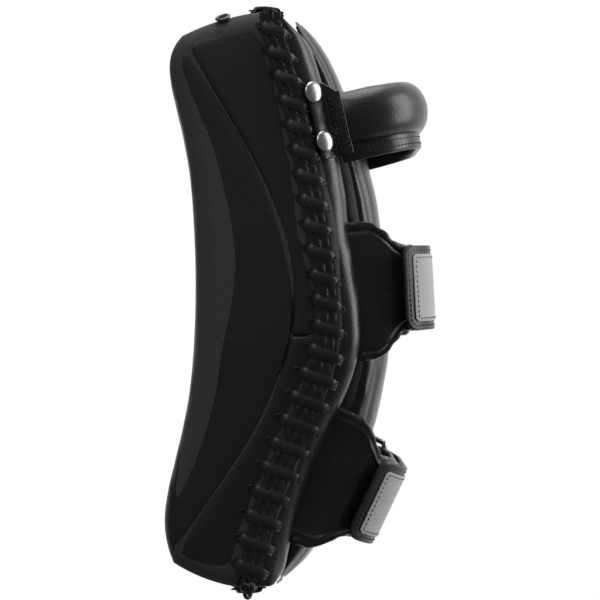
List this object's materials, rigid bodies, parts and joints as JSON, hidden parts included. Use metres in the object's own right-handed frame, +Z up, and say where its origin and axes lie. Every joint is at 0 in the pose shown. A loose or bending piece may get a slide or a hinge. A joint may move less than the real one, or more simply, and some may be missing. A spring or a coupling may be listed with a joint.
{
  "type": "thai kicking pad",
  "caption": "Curved leather-covered foam strike pad worn on a forearm, with a padded grip handle, laced edges and hook-and-loop forearm straps.",
  "frame": {"origin": "on the surface of the forearm cushion, on the middle plane, halfway up the pad", "axes": "+Z up the pad along its length, towards the handle's end; +X out of the back, towards the forearm; the strike face looks along -X"},
  "size_m": [0.1874, 0.207, 0.402],
  "materials": {
    "face_leather": "satin smooth leather with a fine grain",
    "back_leather": "semi-gloss leather with soft creases",
    "foam": "dense closed-cell foam, out of sight",
    "board": "stiff flexible board, out of sight",
    "lining": "matt woven lining",
    "lace": "flat leather lace with a slight sheen",
    "hook_and_loop": "fuzzy hook-and-loop tape",
    "satin_patch": "plain satin woven patch",
    "chrome": "polished plate",
    "steel": "plain steel, out of sight",
    "black_metal": "black lacquered eyelets with a worn rim"
  },
  "bodies": {
    "root": {"strike_cover": "face_leather", "upper_gusset": "face_leather", "lower_gusset": "face_leather", "impact_foam": "foam", "core_foam": "foam", "vent_eyelets": "black_metal", "backing_board": "board", "rear_cover": "back_leather", "rear_foam": "foam", "forearm_cushion_cover": "back_leather", "forearm_cushion_foam": "foam", "near_lacing": "lace", "far_lacing": "lace", "top_lacing": "lace", "bottom_lacing": "lace", "lace_knot": "lace", "handle_cover": "back_leather", "handle_core": "foam", "near_handle_tab": "back_leather", "far_handle_tab": "back_leather", "rivet_caps": "chrome", "rivet_posts": "steel", "rivet_washers": "steel", "upper_near_cuff_leather": "back_leather", "upper_near_cuff_foam": "foam", "upper_near_cuff_lining": "lining", "upper_far_cuff_leather": "back_leather", "upper_far_cuff_foam": "foam", "upper_far_cuff_lining": "lining", "upper_inner_strap": "back_leather", "upper_loop_patch": "hook_and_loop", "upper_ring_tab": "back_leather", "lower_near_cuff_leather": "back_leather", "lower_near_cuff_foam": "foam", "lower_near_cuff_lining": "lining", "lower_far_cuff_leather": "back_leather", "lower_far_cuff_foam": "foam", "lower_far_cuff_lining": "lining", "lower_inner_strap": "back_leather", "lower_loop_patch": "hook_and_loop", "lower_ring_tab": "back_leather"},
    "upper_ring_body": {"upper_ring": "chrome"},
    "upper_flap_body": {"upper_closure_strap": "back_leather", "upper_hook_patch": "hook_and_loop", "upper_end_patch": "satin_patch"},
    "lower_ring_body": {"lower_ring": "chrome"},
    "lower_flap_body": {"lower_closure_strap": "back_leather", "lower_hook_patch": "hook_and_loop", "lower_end_patch": "satin_patch"}
  },
  "joints": [
    {"name": "upper_ring_swivel", "type": "hinge", "parent": "root", "child": "upper_ring_body", "pos_m": [0.00868, 0.07757, 0.00754], "axis": [-0.0599, 0, 0.9982], "range_deg": [0, 20]},
    {"name": "upper_strap_peel", "type": "hinge", "parent": "upper_ring_body", "child": "upper_flap_body", "pos_m": [0.01998, 0.06773, 0.00822], "axis": [-0.0599, 0, 0.9982], "range_deg": [0, 120]},
    {"name": "lower_ring_swivel", "type": "hinge", "parent": "root", "child": "lower_ring_body", "pos_m": [-0.01846, 0.07757, -0.13283], "axis": [0.423, 0, 0.9061], "range_deg": [0, 20]},
    {"name": "lower_strap_peel", "type": "hinge", "parent": "lower_ring_body", "child": "lower_flap_body", "pos_m": [-0.0082, 0.06773, -0.13763], "axis": [0.423, 0, 0.9061], "range_deg": [0, 120]}
  ]
}
